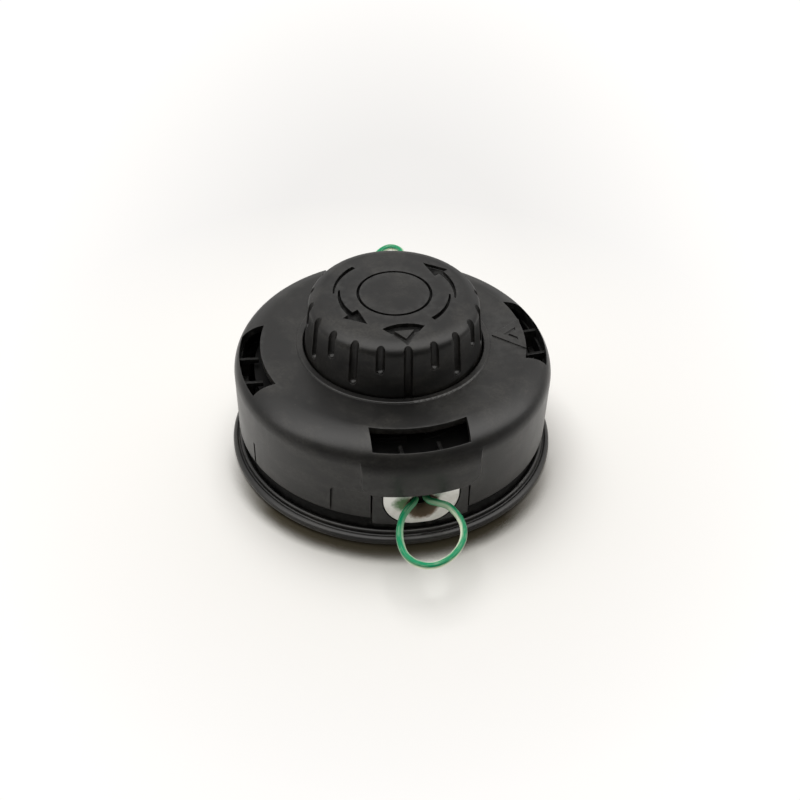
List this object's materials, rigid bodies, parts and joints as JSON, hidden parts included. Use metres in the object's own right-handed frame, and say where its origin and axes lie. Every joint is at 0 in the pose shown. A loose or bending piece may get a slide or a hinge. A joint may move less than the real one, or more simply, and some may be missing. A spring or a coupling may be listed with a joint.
{
  "type": "trimmer head",
  "caption": "Round bump-feed line trimmer head with a grooved winding knob, a windowed cover and two eyelets.",
  "frame": {"origin": "centre of the flange's resting face on the turning axis", "axes": "+Z along the turning axis from the drive side to the knob, -Y through the front eyelet"},
  "size_m": [0.112, 0.1726, 0.0628],
  "materials": {
    "housing_plastic": "satin moulded nylon",
    "knob_plastic": "satin moulded nylon",
    "plated_steel": "zinc plated",
    "spring_steel": "drawn wire",
    "eyelet_metal": "tumbled die casting",
    "line_nylon": "two-tone twisted nylon"
  },
  "bodies": {
    "base": {"base_housing": "housing_plastic", "drive_nut": "plated_steel", "nut_washer": "plated_steel", "hub_sleeve": "plated_steel", "spring_washer": "plated_steel", "spring": "spring_steel", "cover": "housing_plastic", "front_eyelet": "eyelet_metal", "rear_eyelet": "eyelet_metal", "front_loop": "line_nylon", "rear_loop": "line_nylon"},
    "plunger": {"thrust_cup": "plated_steel"},
    "winder": {"spool": "knob_plastic", "lower_winding": "line_nylon", "upper_winding": "line_nylon", "bump_knob": "knob_plastic", "knob_screws": "plated_steel"}
  },
  "joints": [
    {"name": "bump_press", "type": "slide", "parent": "base", "child": "plunger", "axis": [0, 0, -1], "range_m": [0, 0.005], "stiffness_N_per_m": 1200, "springref_m": -0.006, "deforming": ["spring"]},
    {"name": "winder_turn", "type": "hinge", "parent": "plunger", "child": "winder", "pos_m": [0, 0, 0.03], "axis": [0, 0, 1], "continuous": true}
  ]
}
